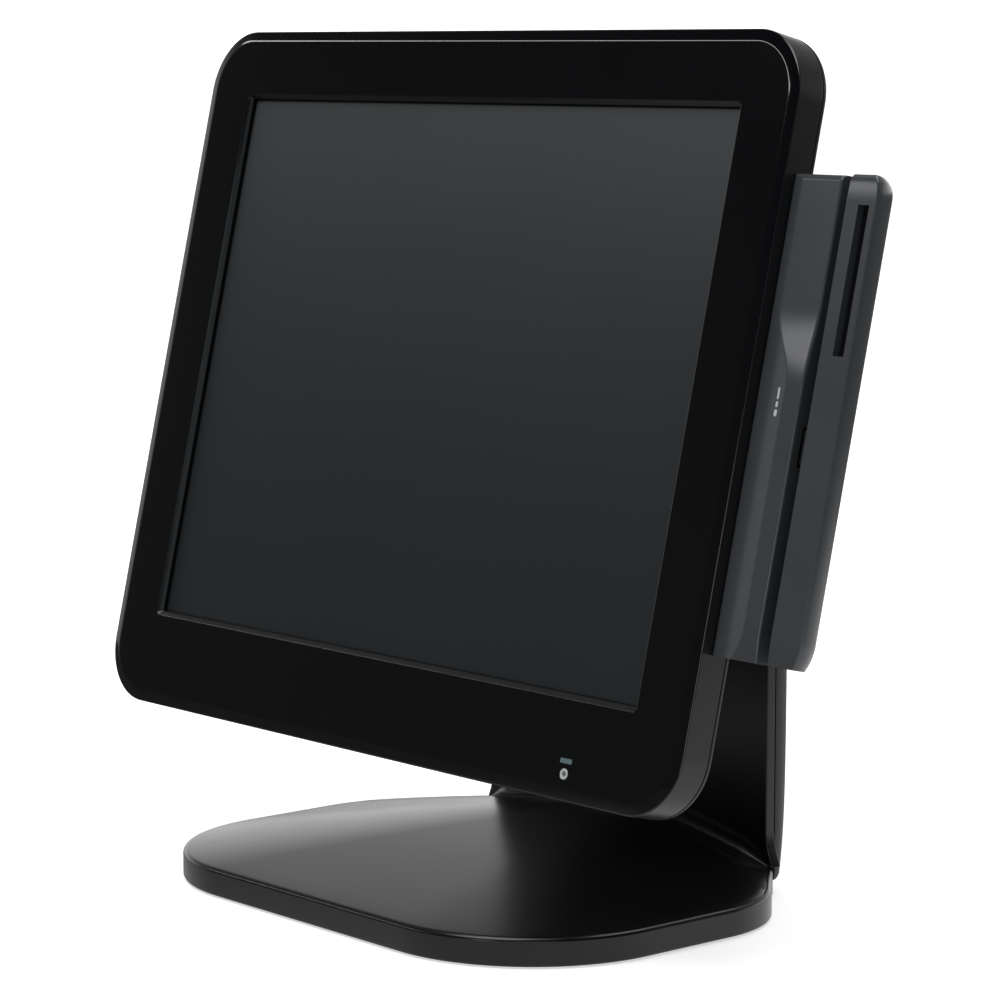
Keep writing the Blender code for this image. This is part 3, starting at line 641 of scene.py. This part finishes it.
def make_bezel():
    """One closed skin: front edge, side, back, the opening's lip and its chamfer."""
    rings = [
        head_ring(0.0052, 0.0),
        head_ring(0.0045, 0.00003),
        head_ring(0.0036, 0.00018),
        head_ring(0.0008, 0.00072),
        head_ring(0.00035, 0.00086),
        head_ring(0.00010, 0.00108),
        head_ring(0.0, 0.0014),
        head_ring(0.0, BEZEL_BACK - 0.0006),
        head_ring(0.0001, BEZEL_BACK - 0.0002),
        head_ring(0.0004, BEZEL_BACK),
        head_ring(WALL, BEZEL_BACK),
        head_ring(WALL, PLATE_BACK),
        opening_ring(OPENING_LIP, PLATE_BACK),
        opening_ring(OPENING_LIP, 0.0021),
        opening_ring(OPENING_LIP + 0.0001, 0.0019),
        opening_ring(0.0, 0.00032),
        opening_ring(0.00012, 0.00016),
        opening_ring(0.0005, 0.0),
    ]
    bezel = to_object("bezel", skin(rings, closed=True))
    holes = [
        prism(rounded_rect(*widened(LAMP_BAR), LAMP_BAR_MID, 6), "Y", *LAMP_HOLE),
        prism(circle(LAMP_RING[0] + GAP, 48, LAMP_RING_MID), "Y", *LAMP_HOLE),
        prism(rounded_rect(*widened(BUTTON), BUTTON_MID, 8), "X", *BUTTON_HOLE),
    ]
    cut(bezel, *holes)
    place(bezel, "gloss_black", "head", HEAD, ["front_bezel"], 30)


def make_lamps():
    """A bar, and a ring whose front is flat between two bevels."""
    outline = rounded_rect(*LAMP_BAR, LAMP_BAR_MID, 6)
    bar = to_object("lamp_bar", prism(outline, "Y", LAMP_FRONT, LAMP_BACK))
    round_edges(bar, 0.00012, 2)
    place(bar, "lamp_teal", "head", HEAD, ["status_lamp_bar"])
    outer, inner = LAMP_RING
    section = (
        (outer, LAMP_BACK),
        (outer, LAMP_FRONT),
        (outer - 0.0002, 0.0),
        (inner + 0.0002, 0.0),
        (inner, LAMP_FRONT),
        (inner, LAMP_BACK),
    )
    rings = [lifted(circle(radius, 48, LAMP_RING_MID), "Y", depth) for radius, depth in section]
    ring = to_object("lamp_ring", skin(rings, closed=True))
    place(ring, "lamp_white", "head", HEAD, ["status_lamp_round"])


def make_button():
    outline = rounded_rect(*BUTTON, BUTTON_MID, 10)
    cap = to_object("button_cap", prism(outline, "X", *BUTTON_REACH))
    round_edges(cap, 0.0004, 3)
    place(cap, "moulded_black", "power_button", HEAD, ["power_button"])


def make_screen():
    outline = rounded_rect(*GLASS_HALF, OPENING_CORNER, steps=6)
    sheet = to_object("screen_glass", prism(outline, "Y", *GLASS_DEPTHS))
    round_edges(sheet, 0.0002, 2)
    place(sheet, "touch_glass", "head", HEAD, ["touch_glass"])


def bulge_ring(half_w, bottom, top, radius, depth):
    mid = (bottom + top) / 2
    return lifted(rounded_rect(half_w, (top - bottom) / 2, radius, (0, mid)), "Y", depth)


def make_back_cover():
    rings = [bulge_ring(*row) for row in BULGE_OUTSIDE]
    rings += [head_ring(inset, depth) for inset, depth in RIM_EDGE]
    rings.append(head_ring(0.0, BEZEL_BACK + GAP))
    rings += [bulge_ring(*row) for row in BULGE_INSIDE]
    cover = to_object("rear_housing", skin(rings))
    vents = []
    for count, low, high in VENT_ROWS:
        for i in range(count):
            x = (i - count // 2) * VENT_PITCH
            vents.append(((x - VENT_HALF, *low), (x + VENT_HALF, *high)))
    windows = [PORT_WINDOW, DRIVE_BAY]
    for i in range(SPEAKER_SLOTS):
        x = SPEAKER_LEFT + i * SPEAKER_PITCH
        windows.append(((x, 0.026, -0.120), (x + SPEAKER_SLOT, 0.046, -0.100)))
    cut(cover, boxes(vents), boxes(windows))
    place(cover, "moulded_black", "head", HEAD, ["back_cover"], 30)


# ---- stand ----


def base_outline(inset=0.0):
    """The base's D-shaped plan, from the middle of its front round to the back and over."""
    half = BASE_HALF - inset
    front = BASE_FRONT + inset
    back = BASE_BACK - inset
    corner = BASE_FRONT_CORNER - inset
    rear = BASE_REAR_CORNER - inset
    right = [((half - corner) * i / 12, front) for i in range(1, 12)]
    right += arc(half - corner, front + corner, corner, -90, 0, 48)
    right += arc(half - rear, REAR_CORNER_MID, rear, 0, 45, 24)
    corner_x, corner_y = right[-1]
    last = (corner_x - (back - BACK_EDGE - corner_y), back - BACK_EDGE)
    right += [between((corner_x, corner_y), last, share) for share in (0.25, 0.5, 0.75, 1.0)]
    right += [(last[0] - 0.0012, last[1] + 0.0018), (last[0] - 0.0035, back)]
    return right + [(-x, y) for x, y in reversed(right)]


def dome_height(x, y):
    """Height of the base's top at a point: it falls from the middle of the back edge to the rim.

    A line from there through the point meets the outline, and the point's share of it is the reach.
    """
    reach = 1.0
    outline = base_outline()
    for (ax, ay), (bx, by) in zip(outline, outline[1:] + outline[:1]):
        ex, ey = bx - ax, by - ay
        px, py = ax, ay - BASE_BACK
        cross = x * ey - (y - BASE_BACK) * ex
        if abs(cross) < 1e-12:
            continue
        t = (px * ey - py * ex) / cross
        u = (px * (y - BASE_BACK) - py * x) / cross
        if t > 0 and -1e-6 <= u <= 1 + 1e-6:
            reach = min(reach, 1 / t)
    return RIM_HEIGHT + DOME_RISE * (1 - reach**DOME_POWER)


def dome_ring(outline, share):
    """The outline drawn in towards the middle of the back edge, at the crown's height there."""
    height = RIM_HEIGHT + DOME_RISE * (1 - share**DOME_POWER)
    return [(x * share, BASE_BACK + (y - BASE_BACK) * share, height) for x, y in outline]


def make_base():
    outer = base_outline()
    rings = [lifted(base_outline(0.0012), "Z", SHELL_BOTTOM)]
    rings.append(lifted(base_outline(0.0004), "Z", SHELL_BOTTOM + 0.0004))
    rings.append(lifted(outer, "Z", SHELL_BOTTOM + 0.0012))
    for inset, height in RIM_ROLL:
        rings.append(lifted(base_outline(inset), "Z", height))
    shares = [0.965, 0.94, 0.90, 0.85, 0.79, 0.72, 0.64, 0.56, 0.48, 0.40, 0.32, 0.24, 0.16, 0.09]
    rings += [dome_ring(outer, share) for share in shares]
    shell = to_object("base_cover", skin(rings))
    hollow = [lifted(base_outline(0.0028), "Z", z) for z in (0.0, 0.0080)]
    cut(shell, skin(hollow))
    half = PLATE_SLOT_HALF
    notch = ((-half, BASE_BACK - 0.010, 0.0), (half, BASE_BACK + 0.004, 0.0067))
    cut(shell, boxes([notch]))
    place(shell, "satin_black", "stand", STAND, ["base_shell"], 40)


def neck_outline():
    """The front panel, x and z: it stands on the dome and flares at its lower corners."""
    half = NECK_HALF + NECK_FLARE
    foot = []
    for i in range(49):
        x = half * i / 48
        foot.append((x, dome_height(x, NECK_FRONT) + GAP))
    low = foot[-1][1]
    side = []
    for i in range(1, 13):
        t = i / 12
        side.append((NECK_HALF + NECK_FLARE * (1 - t) ** 2, low + FLARE_HEIGHT * t))
    side += [(NECK_HALF, z) for z in (0.05, 0.10, 0.15)]
    corner = arc(NECK_HALF - NECK_CORNER, NECK_TOP - NECK_CORNER, NECK_CORNER, 0, 90, 16)
    right = [*foot, *side, *corner]
    return right + [(-x, z) for x, z in reversed(right[1:])]


def fillet_ring(x):
    """The section of the hollow fillet between the base's top and the neck's front face."""
    radius = NECK_FILLET * (1 - FILLET_LOSS * smooth_step(abs(x), *FILLET_FADE))
    steps = [radius * (i / 18) ** 1.4 * 0.99 for i in range(19)]
    under = [(NECK_FRONT - t, dome_height(x, NECK_FRONT - t) + 0.00005) for t in steps]
    over = []
    for (y, z), t in zip(under, steps):
        rise = radius - math.sqrt(radius**2 - (radius - t) ** 2)
        over.append((y, z + 0.0002 + rise))
    inside = NECK_FRONT + 0.0015
    outline = [(inside, under[0][1] + 0.0006), *under, *reversed(over), (inside, over[0][1])]
    return [(x, y, z) for y, z in outline]


def make_neck():
    panel = to_object("neck_face", prism(neck_outline(), "Y", NECK_FRONT, NECK_SEAM + 0.00015))
    entry = rounded_rect(0.020, 0.012, 0.008, (0, 0.148), 10)
    cut(panel, prism(entry, "Y", 0.070, 0.090))
    round_edges(panel, 0.0011, 3)
    fillet = skin([fillet_ring((NECK_HALF + 0.0006) * i / 60) for i in range(-60, 61)])
    cut(panel, fillet, operation="UNION")
    place(panel, "satin_black", "stand", STAND, ["neck_front_panel"])


def cover_ring(z, inset=0.0, low=0.0, front=NECK_SEAM + GAP):
    """The rear cover's section, shallower near the counter; low draws it in at its ends."""
    fade = math.exp(-(z - COVER_BOTTOM) / COVER_TUCK_REACH)
    depth = (NECK_BACK - NECK_SEAM - GAP) * (1 - COVER_TUCK * fade) - inset - low
    half = NECK_HALF - inset - low
    round_x = COVER_ROUND - inset
    points = [(half, front, z)]
    for i in range(25):
        angle = math.pi / 2 * i / 24
        x = half - round_x + round_x * math.cos(angle)
        points.append((x, NECK_SEAM + GAP + depth * math.sin(angle), z))
    return points + [(-x, y, level) for x, y, level in reversed(points)]


def make_rear_cover():
    rings = [cover_ring(z, low=low) for z, low in COVER_FOOT]
    rings += [cover_ring(z) for z in COVER_LOW + COVER_HIGH]
    rings += [cover_ring(NECK_TOP - drop, low=low) for drop, low in COVER_CROWN]
    cover = to_object("neck_back", skin(rings))
    front = NECK_SEAM + GAP - 0.001
    levels = (NECK_TOP - 0.0025, 0.150, 0.050, 0.020, 0.0076)
    hollow = [cover_ring(z, WALL, front=front) for z in levels]
    slot = ((-PLATE_SLOT_HALF, 0.080, 0.003), (PLATE_SLOT_HALF, 0.0894, 0.010))
    outlet = rounded_rect(0.018, 0.011, 0.006, (0, 0.016), 10)
    cut(cover, skin(hollow), boxes([slot]), prism(outlet, "Y", 0.086, 0.110))
    place(cover, "moulded_black", "stand", STAND, ["neck_rear_cover"], 35)


# ---- card reader ----


def body_front(z):
    """Depth of the inner block's front: a step, a rounded top and a bottom that falls back."""
    level = FRONT_HIGH + (FRONT_LOW - FRONT_HIGH) * smooth_step(z, *STEP_SPAN)
    top = max(0.0, z - (READER_TOP - BODY_ROUND))
    bottom = max(0.0, BODY_FALL - z)
    rounding = BODY_ROUND - math.sqrt(max(0.0, BODY_ROUND**2 - top**2))
    return level + rounding + 0.0009 * (bottom / 0.0100) ** 1.6


def body_ring(z):
    """The inner block's section: a slanted face beside the head, then the raised face."""
    left = HEAD_WIDTH / 2 + GAP
    level = body_front(z)
    corner = max(SLANT_START, level)
    ridge = left + max(0.0008, (SLANT_START - level) / SLANT)
    soft = 0.0010
    outline = [
        (left, CHANNEL_FLOOR - GAP),
        (left, corner + 0.0002),
        (left + 0.0002, corner),
        (max(left + 0.0005, ridge - soft), level + SLANT * soft if SLANT_START > level else level),
        (ridge + soft * 0.6, level),
        (BODY_RIGHT - 0.0010, level),
        (BODY_RIGHT - 0.0007, level + 0.00008),
        (BODY_RIGHT - 0.0003, level + 0.0003),
        (BODY_RIGHT - 0.00008, level + 0.0007),
        (BODY_RIGHT, level + 0.0010),
        (BODY_RIGHT, CHANNEL_FLOOR - GAP),
    ]
    return lifted(outline, "Z", z)


def rail_ring(z):
    """The outer block's section: a flat front and a quarter-round outer side."""
    top = max(0.0, z - RAIL_HIGH) / (READER_TOP - RAIL_HIGH)
    bottom = max(0.0, RAIL_LOW - z) / (RAIL_LOW - READER_BOTTOM)
    front = FRONT_HIGH + 0.0007 * (top**2 + bottom**1.6) + 0.0012 * max(0, top - 0.86) / 0.14
    radius = RAIL_RADIUS - (0.0036 * top**4 + 0.0024 * bottom**2)
    centre = (READER_REACH - RAIL_RADIUS, 0.0040)
    corner = centre[0] + radius
    side = arc(centre[0], centre[1], radius, 0, 84, 28)
    outline = [(RAIL_LEFT, front + 0.0003), (RAIL_LEFT + 0.0003, front)]
    outline += [(corner - 0.0008, front), (corner - 0.0004, front + 0.0001)]
    outline.append((corner - 0.00008, front + 0.0005))
    outline += side[1:]
    outline += [(CHANNEL_RIGHT, side[-1][1]), (CHANNEL_RIGHT, 0.0058)]
    return lifted(outline, "Z", z)


def make_inner_block():
    roll = [math.sin(math.radians(angle)) for angle in range(90, -1, -15)]
    heights = [READER_TOP - BODY_ROUND * (1 - share) for share in roll]
    heights += [0.070, 0.055, *spaced(0.046, 0.008, 38), -0.010, -0.040, -0.070]
    heights += [*spaced(BODY_FALL, -0.0896, 8), -0.0902, READER_BOTTOM]
    body = to_object("reader_inner", skin([body_ring(z) for z in heights]))
    pocket = ((0.1870, 0.0100, -0.060), (0.2060, 0.0220, 0.060))
    window = ((0.2040, 0.0070, -0.0173), (0.2120, 0.0163, -0.0027))
    cut(body, boxes([pocket]), boxes([window]))
    place(body, "reader_grey", "head", HEAD, ["reader_body"], 25)


def make_outer_block():
    heights = [READER_TOP, *spaced(READER_TOP - 0.0003, RAIL_HIGH, 10), 0.060, 0.0, -0.060]
    heights += [*spaced(RAIL_LOW, -0.0900, 8), READER_BOTTOM]
    rail = to_object("reader_outer", skin([rail_ring(z) for z in heights]))
    recess = ((0.2208, 0.001, 0.0240), (0.2262, 0.0074, 0.0797))
    cut(rail, boxes([recess]))
    place(rail, "reader_grey", "head", HEAD, ["reader_rail"], 25)


def make_reader_mark():
    """A plain printed swipe cue on the slanted face: three rounded bars, one above the other."""
    for i, (half_width, low, high) in enumerate(MARK_BARS):
        mid = (MARK_X, (low + high) / 2)
        outline = rounded_rect(half_width, (high - low) / 2, half_width * 0.9, mid, 6)
        bar = prism(outline, "Y", -0.00005, 0.0003)
        for vert in bar.verts:
            vert.co.y += SLANT_START - SLANT * (vert.co.x - HEAD_WIDTH / 2 - GAP)
        mark = to_object(f"reader_mark_{i + 1}", bar)
        place(mark, "lamp_white", "head", HEAD)


def make_lens_and_channel_floor():
    lens = to_object("reader_lens", boxes([((0.2211, 0.0059, 0.0243), (0.2259, 0.0071, 0.0794))]))
    round_edges(lens, 0.0002, 2)
    place(lens, "smoked_lens", "head", HEAD, ["reader_window"])
    floor = ((0.1840, CHANNEL_FLOOR, -0.0890), (CHANNEL_RIGHT - GAP, 0.0216, 0.0896))
    plate = to_object("channel_floor", boxes([floor]))
    round_edges(plate, 0.0006, 3)
    place(plate, "moulded_black", "head", HEAD, ["reader_back_plate"])


# ---- surroundings ----


def make_camera():
    camera = bpy.data.objects.new("camera", bpy.data.cameras.new("camera"))
    bpy.context.scene.collection.objects.link(camera)
    camera.data.lens = CAMERA_LENS
    camera.data.sensor_width = 36.0
    camera.data.clip_end = 50
    camera.location = CAMERA_PLACE
    camera.rotation_euler = Vector(CAMERA_FORWARD).to_track_quat("-Z", "Y").to_euler()
    bpy.context.scene.camera = camera


def make_floor():
    """A floor white to the camera. What the object mirrors of it is brightest round FLOOR_MID."""
    bm = bmesh.new()
    bmesh.ops.create_grid(bm, x_segments=8, y_segments=8, size=40.0)
    floor = to_object("floor", bm)
    n = Nodes("floor_paper")
    paper = n.blend(n.spread(n.noise(3), 0, 1), (0.90, 0.90, 0.90), (0.93, 0.93, 0.93))
    n.join(paper, n.shader.inputs["Base Color"])
    n.set(Roughness=0.9, Specular_IOR_Level=0.1)
    n.set(Emission_Color=(1, 1, 1, 1), Emission_Strength=FLOOR_GLOW)
    offset = n.add("ShaderNodeVectorMath", operation="SUBTRACT")
    offset.inputs[1].default_value = FLOOR_MID
    n.join(n.place, offset.inputs[0])
    reach = n.add("ShaderNodeVectorMath", operation="LENGTH")
    n.join(offset.outputs["Vector"], reach.inputs[0])
    mirrored = n.add("ShaderNodeEmission")
    n.join(n.spread(reach.outputs["Value"], *FLOOR_NEAR), mirrored.inputs["Strength"])
    path = n.add("ShaderNodeLightPath")
    mix = n.add("ShaderNodeMixShader")
    n.join(path.outputs["Is Camera Ray"], mix.inputs[0])
    n.join(mirrored.outputs[0], mix.inputs[1])
    n.join(n.shader.outputs[0], mix.inputs[2])
    n.join(mix.outputs[0], n.tree.nodes["Material Output"].inputs["Surface"])
    floor.data.materials.append(n.material)
    floor.location = (0, 0, -0.0002)


def area_light(name, at, target, size, power, tint=(1, 1, 1)):
    data = bpy.data.lights.new(name, "AREA")
    data.shape = "RECTANGLE"
    data.size, data.size_y = size
    data.energy = power
    data.color = tint
    light = bpy.data.objects.new(name, data)
    bpy.context.scene.collection.objects.link(light)
    light.location = at
    aim = Vector(target) - Vector(at)
    light.rotation_euler = aim.to_track_quat("-Z", "Y").to_euler()
    light.visible_camera = False


def make_world():
    """White to the camera. What is mirrored of it is brightest low down behind the object."""
    world = bpy.data.worlds.new("studio")
    bpy.context.scene.world = world
    world.use_nodes = True
    tree = world.node_tree
    background = tree.nodes["Background"]
    coords = tree.nodes.new("ShaderNodeTexCoord")

    def fall(source, tones):
        node = tree.nodes.new("ShaderNodeMapRange")
        node.interpolation_type = "SMOOTHSTEP"
        for key, value in zip(("To Min", "To Max", "From Min", "From Max"), tones):
            node.inputs[key].default_value = value
        tree.links.new(source, node.inputs["Value"])
        return node.outputs["Result"]

    facing = tree.nodes.new("ShaderNodeVectorMath")
    facing.operation = "DOT_PRODUCT"
    facing.inputs[1].default_value = BACK_WAY
    tree.links.new(coords.outputs["Generated"], facing.inputs[0])
    split = tree.nodes.new("ShaderNodeSeparateXYZ")
    tree.links.new(coords.outputs["Generated"], split.inputs[0])
    tone = tree.nodes.new("ShaderNodeMath")
    tone.operation = "MULTIPLY"
    tree.links.new(fall(facing.outputs["Value"], WALL_TONES), tone.inputs[0])
    tree.links.new(fall(split.outputs["Z"], WALL_LIFT), tone.inputs[1])
    path = tree.nodes.new("ShaderNodeLightPath")
    seen = tree.nodes.new("ShaderNodeMath")
    seen.operation = "MAXIMUM"
    tree.links.new(path.outputs["Is Camera Ray"], seen.inputs[0])
    tree.links.new(tone.outputs[0], seen.inputs[1])
    tree.links.new(seen.outputs[0], background.inputs["Strength"])
    background.inputs["Color"].default_value = (1, 1, 1, 1)


def make_surroundings():
    """Floor, world, a soft overhead sun, four area lights and the camera."""
    make_floor()
    make_world()
    sky = bpy.data.lights.new("sky", "SUN")
    sky.energy = 1.6
    sky.angle = math.radians(60)
    light = bpy.data.objects.new("sky", sky)
    bpy.context.scene.collection.objects.link(light)
    light.rotation_euler = (math.radians(-14), 0, 0)
    area_light("key", (0.1, -1.15, 2.1), (0, 0, 0.2), (1.5, 1.1), 22)
    area_light("strip", (-4.50, -3.86, 2.84), (0, 0, 0.22), (4.2, 0.28), 28)
    area_light("viewer_box", (0.75, -2.50, 0.45), (0, 0, 0.2), (0.5, 0.9), 4.0)
    area_light("viewer_fill", (1.85, -1.60, 0.45), (0, 0, 0.2), (1.3, 1.2), 2.6, (0.85, 0.97, 1.0))
    bpy.context.scene.view_settings.view_transform = "Standard"
    make_camera()


dress_nodes()
make_bezel()
make_lamps()
make_button()
make_screen()
make_back_cover()
make_base()
make_neck()
make_rear_cover()
make_inner_block()
make_outer_block()
make_reader_mark()
make_lens_and_channel_floor()
make_surroundings()
